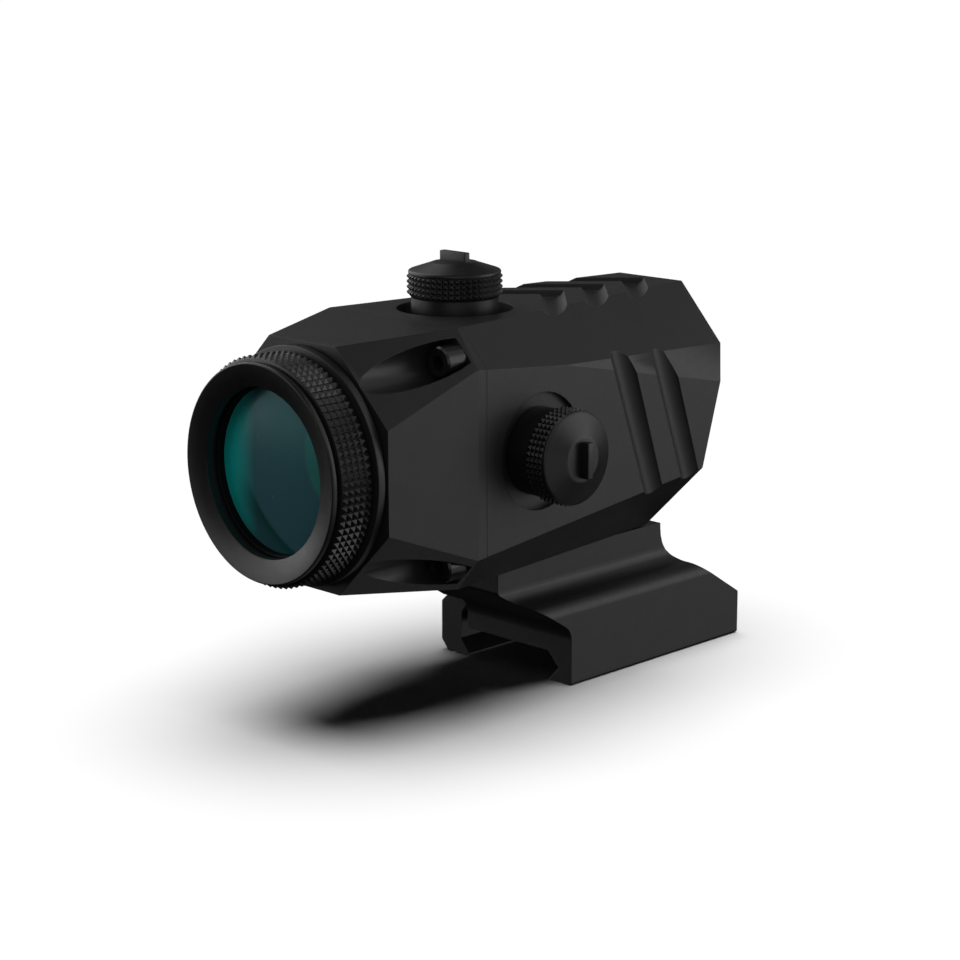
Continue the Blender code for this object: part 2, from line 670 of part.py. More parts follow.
def erector():
    """The tilting tube with the prisms, the reticle and its light, on its gimbal ring."""
    pivot = empty("erector_pivot", (0, PIVOT_Y, 0))
    piece("gimbal_ring", tube(10.1, 11.7, 64.5, 67.2, INNER_SIDES), STEEL, turn=ALONG_SIGHT, parent=pivot)
    sleeve = tube(*ERECTOR_TUBE, ERECTOR_START, PIVOT_Y, INNER_SIDES)
    piece("erector_tube", sleeve, ANODISED, turn=ALONG_SIGHT, parent=pivot)
    reticle = rod(ERECTOR_GLASS, 36.0, 37.5, INNER_SIDES)
    piece("reticle_glass", reticle, CLEAR_GLASS, turn=ALONG_SIGHT, parent=pivot)
    piece("led_emitter", box((-8.2, 39.0, -1.0), (-6.0, 41.0, 1.0)), LED_RED, parent=pivot)
    slope = Vector((0, cos(PRISM_SLOPE), sin(PRISM_SLOPE)))
    front = box((-PRISM_HALF, 42.0, -PRISM_HALF), (PRISM_HALF, 52.0, PRISM_HALF))
    trim(front, (0, 48.7, 0), slope)
    piece("prism_front", front, CLEAR_GLASS, parent=pivot)
    back = box((-PRISM_HALF, 45.0, -PRISM_HALF), (PRISM_HALF, 60.0, PRISM_HALF))
    trim(back, (0, 49.1, 0), -slope)
    for side in (1, -1):
        trim(back, (side * 2.0, 0, PRISM_HALF), Vector((side, 0, 1)))
    piece("prism_rear", back, CLEAR_GLASS, parent=pivot)
    lens("erector_lens", ERECTOR_GLASS, 61.6, 64.4, 0.6, -0.6, parent=pivot)


def return_spring():
    """The bowed leaf that presses the tube up and to the right, against both plungers."""
    inner = []
    for step, y in enumerate(bands(*SPRING_Y, SPRING_STEPS)):
        inner.append(Vector((y, SPRING_FOOT - SPRING_BOW * sin(pi * step / SPRING_STEPS))))
    outline = inner + [point + Vector((0, SPRING_THICK)) for point in reversed(inner)]
    shape = extruded(outline, SPRING_WIDTH)
    bmesh.ops.translate(shape, vec=(0, 0, -SPRING_WIDTH / 2), verts=shape.verts)
    turn = Matrix.Rotation(radians(225), 3, "Y") @ Euler(SIDE_OUTLINE).to_matrix()
    piece("return_spring", shape, SPRING_STEEL, turn=turn.to_euler())


# --- clamp base ---

def base_section():
    """The base seen from the front: neck, coves, shoulders and the fixed jaw, with the rail's channel."""
    right = [(NECK_HALF, BASE_TOP, 0), (NECK_HALF, SHELF, COVE), (FLANGE_HALF, SHELF, SHOULDER),
             (FLANGE_HALF, FOOT, 0.5), (8.7, FOOT, 0), (10.82, -37.6, 0), (8.5, RAIL_TOP, 0)]
    left = [(BLOCK_SIDE, RAIL_TOP, 0), (BLOCK_SIDE, -30.2, 0), (-FLANGE_HALF, -30.2, 0),
            (-FLANGE_HALF, SHELF, SHOULDER), (-NECK_HALF, SHELF, COVE), (-NECK_HALF, BASE_TOP, 0)]
    return rounded(right + left)


def base_side():
    """The base seen from the side: it leans back from the neck to the clamp."""
    return rounded([(BASE_FRONT, BASE_TOP, 0), (BASE_FRONT, -24.3, 0.8), (CLAMP_START, -31.0, 3.0),
                    (CLAMP_START, FOOT, 0), (CLAMP_END, FOOT, 0), (CLAMP_END, -32.75, 0.4),
                    (78.1, -24.17, 6.9), (78.1, BASE_TOP, 0)])


def mount_base():
    """The block between the housing and the rail, with the fixed jaw."""
    length = CLAMP_END - BASE_FRONT + 2
    block = extruded(base_section(), length)
    base = piece("mount_base", block, ANODISED, (0, CLAMP_END + 1, 0), FRONT_OUTLINE)
    side = cutter("base_side_guide", extruded(base_side(), 40), (-20, 0, 0), SIDE_OUTLINE)
    combine(base, [side], "INTERSECT")
    screw = [(0, RAIL_TOP - 1), (MOUNT_HEAD_HOLE, RAIL_TOP - 1), (MOUNT_HEAD_HOLE, MOUNT_HEAD_SEAT),
             (MOUNT_SCREW_HOLE, MOUNT_HEAD_SEAT), (MOUNT_SCREW_HOLE, BASE_TOP + 1), (0, BASE_TOP + 1)]
    for y in MOUNT_SCREWS:
        combine(base, [cutter("mount_screw_cutter", turned(screw, INNER_SIDES - 4), (0, y, 0))])
    for y in CLAMP_SCREWS:
        hole = rod(CLAMP_SCREW_HOLE, -CLAMP_HOLE_END, 20, SCREW_SIDES)
        combine(base, [cutter("clamp_hole_cutter", hole, (0, y, CLAMP_SCREW_Z), TO_LEFT)])


def clamp_plate():
    """The loose jaw on the left, with a hole for each of its screws."""
    foot = FOOT + 0.05
    outline = rounded([(-13.8, -30.5, 0.4), (-9.55, -30.5, 0), (-9.55, -31.4, 0), (-10.6, -32.7, 0.4),
                       (-10.82, -37.3, 0.3), (-8.76, foot, 0.2), (-13.85, foot, 0.3), (-15.24, -38.3, 0.4),
                       (-15.2, -31.8, 0.4)], steps=2)
    plate = piece("clamp_plate", extruded(outline, CLAMP_END - CLAMP_START), ANODISED, (0, CLAMP_END, 0),
                  FRONT_OUTLINE)
    for y in CLAMP_SCREWS:
        hole = rod(CLAMP_SCREW_HOLE, 5, 20, SCREW_SIDES)
        combine(plate, [cutter("plate_hole_cutter", hole, (0, y, CLAMP_SCREW_Z), TO_LEFT)])


def base_screws():
    """The clamp's cross screws on the left, and the screws that hold the base on the housing."""
    for name, y in zip(("front", "rear"), CLAMP_SCREWS):
        shape, socket = cap_screw(2.2, 18.0, 15.5, 1.3, GAP - CLAMP_HOLE_END, 1.25)
        at = (0, y, CLAMP_SCREW_Z)
        screw = piece("clamp_screw_" + name, shape, BLACK_STEEL, at, TO_LEFT)
        combine(screw, [cutter("clamp_socket_" + name, socket, at, TO_LEFT)])
    for name, y in zip(("front", "rear"), MOUNT_SCREWS):
        shape, socket = cap_screw(2.7, RAIL_TOP + 0.4, MOUNT_HEAD_SEAT - GAP, 1.0, MOUNT_HOLE_END - 0.5, 1.3)
        screw = piece("mount_screw_" + name, shape, BLACK_STEEL, (0, y, 0))
        combine(screw, [cutter("mount_socket_" + name, socket, (0, y, 0))])


def build():
    """Makes every piece of the sight."""
    main_housing()
    eyepiece_housing()
    housing_screws()
    housing_gasket()
    diopter_ring()
    eyepiece_flange()
    ocular_cell()
    lens("ocular_lens", OCULAR_LENS, 2.95, 7.6, 0.45, -1.1, COATED_GLASS)
    retainer("ocular_retainer", 10.9, OCULAR_LENS, 7.2, 8.4)
    lens("field_lens", OCULAR_LENS, 14.8, 18.2, 0.7, -0.5)
    for name, turn in (("elevation", UP), ("windage", TO_RIGHT)):
        turret(name, turn)
    brightness_dial()
    erector()
    return_spring()
    lens("objective_lens", OBJECTIVE_LENS, 69.6, 73.4, 0.4, -0.9, COATED_GLASS)
    retainer("objective_retainer", 10.3, OBJECTIVE_LENS, 73.7, 75.4)
    mount_base()
    clamp_plate()
    base_screws()


build()
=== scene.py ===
"""Looks for the prism dot sight: fine turned pieces, procedural materials, studio and camera.

The sight frame is the part's, in millimetres: y along the sight line from the eyepiece face, x to
the right of it, z up from it. world() turns its points into metres in the row frame. A turned piece
is drawn in millimetres about its own Z, which stand_in() lays along the piece's real axis.
"""

from math import cos, pi, radians, sin, sqrt

import bmesh
import bpy
from mathutils import Euler, Matrix, Vector

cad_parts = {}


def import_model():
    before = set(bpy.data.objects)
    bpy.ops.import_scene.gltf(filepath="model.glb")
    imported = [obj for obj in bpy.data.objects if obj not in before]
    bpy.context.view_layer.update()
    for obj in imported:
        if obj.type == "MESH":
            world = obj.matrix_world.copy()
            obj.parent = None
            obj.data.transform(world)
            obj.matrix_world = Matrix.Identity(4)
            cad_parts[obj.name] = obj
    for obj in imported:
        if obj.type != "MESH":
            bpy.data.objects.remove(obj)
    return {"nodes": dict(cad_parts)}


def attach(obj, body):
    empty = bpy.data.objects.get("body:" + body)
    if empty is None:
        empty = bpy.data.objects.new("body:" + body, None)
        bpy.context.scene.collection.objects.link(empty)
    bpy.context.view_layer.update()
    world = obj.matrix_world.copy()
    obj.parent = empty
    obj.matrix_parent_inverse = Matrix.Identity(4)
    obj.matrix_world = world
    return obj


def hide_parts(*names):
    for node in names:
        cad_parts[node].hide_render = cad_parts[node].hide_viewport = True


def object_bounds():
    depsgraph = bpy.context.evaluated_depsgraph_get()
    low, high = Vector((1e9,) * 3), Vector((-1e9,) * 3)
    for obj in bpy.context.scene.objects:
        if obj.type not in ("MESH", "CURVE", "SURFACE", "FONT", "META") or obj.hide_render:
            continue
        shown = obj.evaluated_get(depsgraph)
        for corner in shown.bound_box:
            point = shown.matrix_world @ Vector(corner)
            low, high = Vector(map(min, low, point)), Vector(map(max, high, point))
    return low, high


# Metres in a millimetre, and the row frame's origin in the sight frame: so far along and so far below.
MM = 0.001
CLAMP_CENTRE = 71.25
SIGHT_HEIGHT = 35.25

# Turns that lay a piece's own Z along an axis.
UP = (0, 0, 0)
ALONG_SIGHT = (-pi / 2, 0, 0)
TO_RIGHT = (0, pi / 2, 0)
TO_LEFT = (0, -pi / 2, 0)

# Camera: a long lens, from the right of the eyepiece and a little above.
CAMERA_AT = (254.70, -211.12, 76.07)
CAMERA_AZIMUTH = 44.899
CAMERA_ELEVATION = 13.143
CAMERA_ROLL = -0.129
CAMERA_LENS = 89.925
SENSOR_WIDTH = 36
CLIP_START = 0.01

# The floor, in metres: a hair below the sight, so that the two never share a plane.
FLOOR_SIZE = 8
FLOOR_GAP = 0.00002
FLOOR_COLOUR = (0.92, 0.92, 0.92)
FLOOR_ROUGHNESS = 0.9

# Light: the floor has its own, and the sight is lit by softboxes and a dim room. A softbox is its name,
# azimuth, elevation and power: azimuth 0 is behind the eyepiece, and 90 to the right of it. The last one
# is below the floor, and gives what a real floor would throw up.
WHITE = (1, 1, 1)
FLOOR_LIGHT = 3.45
FLOOR_LIGHT_ANGLE = 58
ROOM_LIGHT = 0.004
LIT_POINT = (0, -0.03, 0.03)
SOFTBOX_DISTANCE = 1.0
SOFTBOX_SIZE = (0.8, 0.6)
SOFTBOXES = (
    ("right_objective_low", 135, -15, 0.75),
    ("right_objective_side", 135, 12, 2.05),
    ("right_objective_high", 135, 45, 0.63),
    ("right_low", 90, -15, 0.58),
    ("right_high", 90, 45, 0.90),
    ("objective", 180, 12, 0.32),
    ("objective_high", 180, 45, 0.19),
    ("left_objective_side", 225, 12, 0.17),
    ("right_eyepiece_side", 45, 12, 0.94),
    ("eyepiece_high", 0, 45, 1.05),
    ("left_high", 270, 45, 2.00),
    ("left", 270, 12, 2.15),
    ("left_eyepiece_side", 310, 10, 2.20),
    ("floor_bounce", 180, -68, 0.26),
)

# Noises: scale in periods per metre, detail and roughness. A middle is the stretch of a noise's values
# that is spread over a finish's range.
GRAIN = (7000, 3, 0.6)
MOTTLE = (160, 5, 0.6)
HANDLING = (900, 6, 0.7)
TOOL_MARKS = (5200, 2, 0.6)
STAIN = (700, 4, 0.6)
DUST = (1500, 5, 0.6)
LENS_SMEAR = (420, 4, 0.6)
GLASS_SMEAR = (300, 3, 0.6)
NOISE_MIDDLE = (0.3, 0.7)
HANDLING_MIDDLE = (0.35, 0.65)

# The bumps' distances in metres, the tool marks' strength, and the least wear on an edge.
GRAIN_DEPTH = 0.00004
TOOL_DEPTH = 0.00003
TOOL_STRENGTH = 0.08
LEAST_WEAR = 0.25

# An edge shows where the rounded normal leaves the real one: the cosines from full edge to none.
EDGE_SAMPLES = 4
EDGE_COSINES = (0.86, 0.99)

# Anodised finishes: the body's, and what each one has instead. The edge is the colour of rubbed edges.
BODY_FINISH = {
    "dark": (0.014, 0.014, 0.0143), "light": (0.019, 0.019, 0.0193),
    "roughness": (0.38, 0.46), "grain": 0.10,
    "edge": (0.035, 0.035, 0.036), "edge_radius": 0.00012, "gloss": 0.5,
}
ANODISED = {
    "anodised_body": {},
    # The base's finish is the body's, only darker: painted shade, for the base lies under the housing.
    "anodised_base_painted_shade": {"dark": (0.0075, 0.0075, 0.0077), "light": (0.0105, 0.0105, 0.0107)},
    "anodised_turned": {"dark": (0.008, 0.008, 0.0085), "light": (0.013, 0.013, 0.0134),
                        "roughness": (0.34, 0.42), "grain": 0.05,
                        "edge": (0.04, 0.04, 0.042), "edge_radius": 0.00008},
    "anodised_knurl": {"dark": (0.007, 0.007, 0.0074), "light": (0.012, 0.012, 0.0124),
                       "roughness": (0.24, 0.32), "grain": 0.03,
                       "edge": (0.06, 0.06, 0.062), "edge_radius": 0.00008},
    # The barrel finish is the tubes' own matte black, and on the knurls' grooves it is painted shade.
    "anodised_barrel_and_groove_shade": {"dark": (0.003, 0.003, 0.003), "light": (0.005, 0.005, 0.005),
                        "roughness": (0.5, 0.65), "grain": 0.08,
                        "edge": (0.005, 0.005, 0.005), "gloss": 0.15},
}
# The finishes of a turned piece's plain faces, of its pyramids and of the grooves between them. The grooves
# take the barrels' near-black finish, which paints the shade in them.
TURNED_FINISHES_AND_GROOVE_SHADE = ("anodised_turned", "anodised_knurl", "anodised_barrel_and_groove_shade")

# Machined finishes: colour, roughness and how metallic. A stain darkens the colour and spreads the roughness.
MACHINED = {
    "black_oxide": ((0.05, 0.05, 0.052), 0.27, 0.8),
    "ground_steel": ((0.55, 0.55, 0.56), 0.28, 1.0),
    "machined_brass": ((0.66, 0.46, 0.18), 0.3, 1.0),
    "led_package": ((0.5, 0.03, 0.03), 0.3, 0.0),
}
STAIN_DARKENING = 0.8
STAIN_ROUGHNESS = (0.8, 1.25)

RUBBER_DARK = (0.008, 0.008, 0.008)
RUBBER_LIGHT = (0.02, 0.02, 0.02)
RUBBER_ROUGHNESS = (0.7, 0.9)
GLASS_COLOUR = (0.86, 0.93, 0.92)
GLASS_ROUGHNESS = (0.02, 0.06)
GLASS_IOR = 1.52
MASK_GREEN = (0.01, 0.07, 0.02)
TRACK_GREEN = (0.03, 0.16, 0.05)
TRACK_SCALE = 900
TRACK_REACH = (0.2, 0.5)
BOARD_ROUGHNESS = 0.4

# The lens: painted reflections in its colour, and the circles that bound the painted crescents, as centre and
# radius in millimetres, to the right of the lens's middle and below it. The teal is a painted reflection of
# the white floor that fades to grey-blue, one crescent is teal, and the dark one low down is the floor's
# shadow, painted as a reflection.
# The reaches are where a colour blends into the next.
LENS_REFLECTED_TEAL = (0.0, 0.59, 0.53)
LENS_REFLECTED_GREY = (0.037, 0.110, 0.130)
LENS_REFLECTED_CRESCENT = (0.032, 0.17, 0.155)
LENS_REFLECTED_SHADOW = (0.004, 0.05, 0.047)
LENS_SHEEN = (0.25, 1.0, 0.95)
LENS_ROUGHNESS = (0.20, 0.28)
LENS_IOR = 1.5
LENS_SPECULAR = 0.2
TEAL_REACH = (-11.8, -4.5)
CRESCENT_CIRCLE = (15.9, -4.2, 9.5)
CRESCENT_BLUR = 0.2
SHADE_CIRCLE = (11.35, -5.9, 19.1)
SHADE_BLUR = 0.25
SHADE_FADE = (0.4, 4.0)
SHADE_REACH = (1.5, 6.5)
SHADE_STRENGTH = 0.9

# Shading of CAD nodes: a face over so many square metres is a facet, whose edges stay sharp even at a
# faint bend. Any other edge stays sharp only at a corner's bend, and faces within the flat bend are one.
HOUSING_FACET = 0.00006
NO_FACET = 1.0
FACET_BEND = radians(1)
CORNER_BEND = radians(30)
FLAT_BEND = radians(0.4)
WELD_DISTANCE = 0.000001
NORMAL_WEIGHT = 100

# The seam between the housings: its place in the sight frame, and in the row frame in metres, how far
# from that a point belongs to it, in metres, and what share of its gap is left.
HOUSING_SEAM = 27.25
SEAM_Y = (HOUSING_SEAM - CLAMP_CENTRE) * MM
SEAM_REACH = 0.0002
SEAM_LEFT = 0.2

# CAD nodes that keep their shape, by finish. The housings have the body's, and the fasteners black oxide.
HOUSINGS = ("main_housing", "eyepiece_housing")
FASTENER = "screw_"
DRESSED = {
    "anodised_base_painted_shade": ("mount_base", "clamp_plate", "battery_cap"),
    "anodised_barrel_and_groove_shade": ("ocular_retainer", "objective_retainer", "erector_tube"),
    "ground_steel": ("gimbal_ring", "elevation_plunger", "windage_plunger", "battery",
                     "battery_contact", "return_spring"),
    "machined_brass": ("elevation_bushing", "windage_bushing", "elevation_screw", "windage_screw"),
    "seal_rubber": ("housing_gasket", "elevation_seal", "windage_seal"),
    "optical_glass": ("field_lens", "reticle_glass", "prism_front", "prism_rear", "erector_lens"),
    "solder_mask": ("led_board",),
    "led_package": ("led_emitter",),
}

# Turned pieces, as (radius, height) profiles. A knurled one has a profile below its band and one above.
# A band is its low and high end, its root radius, its rows of pyramids and their height.
TURRET_Y = 39.2
DIAL_Y = 42.0
FINE_SIDES = 144
SHARP_BEND = radians(28)
DOUBLES = 1e-4
# The width of the groove between pyramids, and the most that a band's face may lean along the axis.
KNURL_GROOVE = 0.06
BAND_LEAN = 0.1

RING_PITCHES = 90
RING_BELOW = [(12.4, 0.9), (12.55, 0.78), (15.55, 0.06), (15.75, 0.02), (15.9, 0.1), (15.98, 0.24),
              (16.0, 0.4), (16.0, 0.78), (15.93, 0.86), (15.5, 0.95), (15.5, 1.25), (16.2, 1.34)]
RING_BAND = (1.4, 6.95, 16.35, 5, 0.53)
RING_ABOVE = [(14.0, 6.95), (14.0, 2.0), (12.4, 2.0)]

FLANGE = [(12.9, 2.3), (13.7, 2.3), (13.7, 7.15), (17.5, 7.15), (17.5, 8.44), (13.7, 8.44),
          (13.7, 14.0), (12.9, 14.0)]
FLANGE_ROUNDING = 0.15
# A rounded corner takes at most this share of a side. A tiny one, or one nearly straight, stays as it is.
LONGEST_CUT = 0.45
LEAST_CUT = 0.02
NEARLY_STRAIGHT = radians(165)
ARC_STEPS = 3
CELL = [(12.2, 2.85), (12.3, 2.75), (12.6, 2.75), (12.6, 20.0), (12.2, 20.0)]

# A lens is its radius, where the middles of its front and back are, and how far beyond its middle each
# face's rim lies, all along the sight line but the radius.
LENS_RINGS = 10
OCULAR_LENS = (12.15, 3.1, 7.0, 0.85, -0.4)
OBJECTIVE_LENS = (11.5, 69.6, 73.4, 0.4, -0.9)

CAP_PITCHES = 48
CAP_BELOW = [(0, 24.6), (4.0, 24.6), (4.55, 24.0), (4.55, 18.6), (5.9, 18.6), (5.9, 17.4), (6.5, 17.4),
             (6.6, 17.5), (6.6, 21.1), (6.7, 21.25)]
CAP_BAND = (21.4, 24.6, 6.85, 4, 0.42)
CAP_ABOVE = [(6.98, 24.68), (7.0, 24.85), (6.96, 25.02), (6.84, 25.14), (6.65, 25.22), (3.6, 26.22),
             (3.4, 26.31), (3.15, 26.35), (0, 26.35)]
BLADE_LENGTH = 5.4
BLADE_WIDTH = 1.1
BLADE_LOW = 25.6
BLADE_HIGH = 27.85
BLADE_ROUNDING = 0.16
BLADE_SEGMENTS = 3

DIAL_PITCHES = 60
DIAL_BELOW = [(3.0, 18.9), (8.9, 18.9), (8.9, 17.8), (9.6, 17.8), (9.7, 17.9), (9.7, 18.9)]
DIAL_BAND = (19.2, 24.9, 9.3, 5, 0.35)
DIAL_ABOVE = [(9.55, 25.0), (9.6, 25.15), (9.6, 25.35), (9.5, 25.5), (9.3, 25.6), (8.7, 25.6),
              (8.7, 21.4), (3.0, 21.4)]

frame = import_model()
cad_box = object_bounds()


def world(x, y, z):
    """A point of the sight frame in the row frame, in metres."""
    return Vector((x, y - CLAMP_CENTRE, z + SIGHT_HEIGHT)) * MM


# --- node trees ---

class Graph:
    """A node tree under construction."""

    def __init__(self, tree):
        self.nodes = tree.nodes
        self.links = tree.links

    def feed(self, socket, value):
        """Gives a socket another node's output, a colour or a plain value."""
        if isinstance(value, bpy.types.NodeSocket):
            self.links.new(value, socket)
        elif socket.type == "RGBA":
            socket.default_value = (*value, 1)
        else:
            socket.default_value = value

    def node(self, kind, inputs=None, **settings):
        """A new node, with its settings and what feeds its inputs, by name or number."""
        node = self.nodes.new(kind)
        for name, value in settings.items():
            setattr(node, name, value)
        for key, value in (inputs or {}).items():
            self.feed(node.inputs[key], value)
        return node

    def math(self, operation, *values):
        """Arithmetic on values."""
        return self.node("ShaderNodeMath", dict(enumerate(values)), operation=operation).outputs[0]

    def spread(self, value, low, high, source=NOISE_MIDDLE):
        """Maps a value to a range, and holds it there."""
        ends = {"From Min": source[0], "From Max": source[1], "To Min": low, "To Max": high}
        return self.node("ShaderNodeMapRange", {"Value": value, **ends}).outputs["Result"]

    def blend(self, factor, first, second):
        """Blends two colours by a factor."""
        inputs = {"Factor": factor, "A": first, "B": second}
        return self.node("ShaderNodeMix", inputs, data_type="RGBA").outputs["Result"]


class MeshGroup(Graph):
    """A geometry node group under construction, which takes a mesh and gives one."""

    def __init__(self, name):
        self.group = bpy.data.node_groups.new(name, "GeometryNodeTree")
        for way in ("INPUT", "OUTPUT"):
            self.group.interface.new_socket("Geometry", in_out=way, socket_type="NodeSocketGeometry")
        super().__init__(self.group)
        self.mesh = self.node("NodeGroupInput").outputs[0]

    def over(self, value, limit):
        """Whether a value is over a limit."""
        compare = self.node("FunctionNodeCompare", {"A": value, "B": limit}, operation="GREATER_THAN")
        return compare.outputs["Result"]

    def logic(self, operation, first, second):
        """Two tests joined by AND or OR."""
        gate = self.node("FunctionNodeBooleanMath", {0: first, 1: second}, operation=operation)
        return gate.outputs["Boolean"]

    def finished(self, mesh):
        """The group, once the mesh that it gives is fed."""
        self.node("NodeGroupOutput", {0: mesh})
        return self.group


class Surface(Graph):
    """A material under construction, with its Principled shader."""

    def __init__(self, name):
        self.material = bpy.data.materials.new(name)
        self.material.use_nodes = True
        super().__init__(self.material.node_tree)
        self.shader = self.nodes["Principled BSDF"]

    def place(self):
        """The shaded point in its object's own frame, in metres."""
        return self.node("ShaderNodeTexCoord").outputs["Object"]

    def noise(self, scale, detail, roughness):
        """A noise over the object."""
        inputs = {"Vector": self.place(), "Scale": scale, "Detail": detail, "Roughness": roughness}
        return self.node("ShaderNodeTexNoise", inputs).outputs["Fac"]

    def edges(self, radius):
        """A normal rounded over the sharp edges, and a mask of them from 0 to 1."""
        rounded = self.node("ShaderNodeBevel", {"Radius": radius}, samples=EDGE_SAMPLES).outputs["Normal"]
        real = self.node("ShaderNodeNewGeometry").outputs["True Normal"]
        agreement = self.node("ShaderNodeVectorMath", {0: rounded, 1: real}, operation="DOT_PRODUCT")
        return rounded, self.spread(agreement.outputs["Value"], 1.0, 0.0, EDGE_COSINES)

    def bump(self, height, strength, distance, normal=None):
        """A bumped normal, from the surface's own or from the one given."""
        node = self.node("ShaderNodeBump", {"Height": height, "Strength": strength, "Distance": distance})
        if normal:
            self.feed(node.inputs["Normal"], normal)
        return node.outputs["Normal"]

    def finished(self, inputs):
        """The material, once its shader's inputs are fed."""
        for name, value in inputs.items():
            self.feed(self.shader.inputs[name], value)
        return self.material


# --- camera, floor and light ---

def make_camera():
    """The viewpoint."""
    data = bpy.data.cameras.new("camera")
    data.lens = CAMERA_LENS
    data.sensor_width = SENSOR_WIDTH
    data.clip_start = CLIP_START
    camera = bpy.data.objects.new("camera", data)
    tilt = Euler((pi / 2 - radians(CAMERA_ELEVATION), 0, radians(CAMERA_AZIMUTH))).to_matrix()
    camera.rotation_euler = (tilt @ Matrix.Rotation(radians(CAMERA_ROLL), 3, "Z")).to_euler()
    camera.location = world(*CAMERA_AT)
    bpy.context.scene.collection.objects.link(camera)
    bpy.context.scene.camera = camera
    bpy.context.scene.view_settings.view_transform = "Standard"


def make_world():
    """White where the camera looks past the floor, and a dim room everywhere else."""
    studio = bpy.data.worlds.new("studio")
    bpy.context.scene.world = studio
    studio.use_nodes = True
    graph = Graph(studio.node_tree)
    room = graph.nodes["Background"]
    graph.feed(room.inputs["Color"], WHITE)
    graph.feed(room.inputs["Strength"], ROOM_LIGHT)
    white = graph.node("ShaderNodeBackground", {"Color": WHITE, "Strength": 1.0})
    seen = graph.node("ShaderNodeLightPath").outputs["Is Camera Ray"]
    mix = graph.node("ShaderNodeMixShader", {"Fac": seen, 1: room.outputs[0], 2: white.outputs[0]})
    graph.feed(graph.nodes["World Output"].inputs["Surface"], mix.outputs[0])


def make_floor():
    """A plain pale floor just under the sight. The sight doesn't mirror it, and it blocks no light."""
    bpy.ops.mesh.primitive_plane_add(size=FLOOR_SIZE, location=(0, 0, cad_box[0][2] - FLOOR_GAP))
    floor = bpy.context.object
    floor.name = "floor"
    paper = Surface("floor_paper")
    floor.data.materials.append(paper.finished({
        "Base Color": FLOOR_COLOUR, "Roughness": FLOOR_ROUGHNESS, "Specular IOR Level": 0.0}))
    floor.visible_diffuse = False
    floor.visible_glossy = False
    floor.visible_shadow = False
    return floor


def link_to_floor(light, floor, state):
    """Makes a light fall on the floor only, with INCLUDE, or on everything else, with EXCLUDE."""
    receivers = bpy.data.collections.new(light.name + "_receivers")
    receivers.objects.link(floor)
    light.light_linking.receiver_collection = receivers
    receivers.collection_objects[0].light_linking.link_state = state


def floor_light(floor):
    """A broad light straight above, which whitens the floor and gives the sight its soft shadow."""
    data = bpy.data.lights.new("floor_light", "SUN")
    data.energy = FLOOR_LIGHT
    data.angle = radians(FLOOR_LIGHT_ANGLE)
    light = bpy.data.objects.new("floor_light", data)
    bpy.context.scene.collection.objects.link(light)
    link_to_floor(light, floor, "INCLUDE")


def softbox(name, azimuth, elevation, power, floor):
    """A softbox that faces the sight, and leaves the floor to its own light."""
    data = bpy.data.lights.new(name, "AREA")
    data.shape = "RECTANGLE"
    data.size, data.size_y = SOFTBOX_SIZE
    data.energy = power
    light = bpy.data.objects.new(name, data)
    turn, rise = radians(azimuth), radians(elevation)
    away = Vector((sin(turn) * cos(rise), -cos(turn) * cos(rise), sin(rise)))
    light.location = Vector(LIT_POINT) + away * SOFTBOX_DISTANCE
    light.rotation_euler = away.to_track_quat("Z", "Y").to_euler()
    bpy.context.scene.collection.objects.link(light)
    link_to_floor(light, floor, "EXCLUDE")


def make_lights(floor):
    """The floor's light, and softboxes all round the sight."""
    floor_light(floor)
    for name, azimuth, elevation, power in SOFTBOXES:
        softbox(name, azimuth, elevation, power, floor)


# --- materials ---

def anodised(name, dark, light, roughness, grain, edge, edge_radius, gloss):
    """Black anodised aluminium: blasted grain, faint mottling, and edges rubbed a little bright."""
    surface = Surface(name)
    handling = surface.noise(*HANDLING)
    rounded, edges = surface.edges(edge_radius)
    worn = surface.math("MULTIPLY", edges, surface.spread(handling, LEAST_WEAR, 1.0, HANDLING_MIDDLE))
    body = surface.blend(surface.spread(surface.noise(*MOTTLE), 0, 1), dark, light)
    return surface.finished({
        "Base Color": surface.blend(worn, body, edge),
        "Roughness": surface.spread(handling, *roughness),
        "Specular IOR Level": gloss,
        "Normal": surface.bump(surface.noise(*GRAIN), grain, GRAIN_DEPTH, rounded)})


def machined(name, colour, roughness, metallic):
    """Turned or ground metal, with fine tool marks and a faint stain."""
    surface = Surface(name)
    stain = surface.noise(*STAIN)
    dark = tuple(channel * STAIN_DARKENING for channel in colour)
    low, high = (roughness * share for share in STAIN_ROUGHNESS)
    return surface.finished({
        "Base Color": surface.blend(surface.spread(stain, 0, 1), dark, colour),
        "Roughness": surface.spread(stain, low, high),
        "Metallic": metallic,
        "Normal": surface.bump(surface.noise(*TOOL_MARKS), TOOL_STRENGTH, TOOL_DEPTH)})


def rubber(name):
    """Matte black seal rubber, a little dusty."""
    surface = Surface(name)
    dust = surface.noise(*DUST)
    return surface.finished({
        "Base Color": surface.blend(surface.spread(dust, 0, 1), RUBBER_DARK, RUBBER_LIGHT),
        "Roughness": surface.spread(dust, *RUBBER_ROUGHNESS)})


def metres(*lengths):
    """Lengths in millimetres, in metres."""
    return tuple(length * MM for length in lengths)


def beyond(surface, flat, circle, low, high):
    """From 0 to 1 between two distances outside a circle, all in millimetres."""
    x, y, radius = circle
    centre = (*metres(x, y), 0)
    away = surface.node("ShaderNodeVectorMath", {0: flat, 1: centre}, operation="DISTANCE")
    return surface.spread(away.outputs["Value"], 0, 1, metres(radius + low, radius + high))


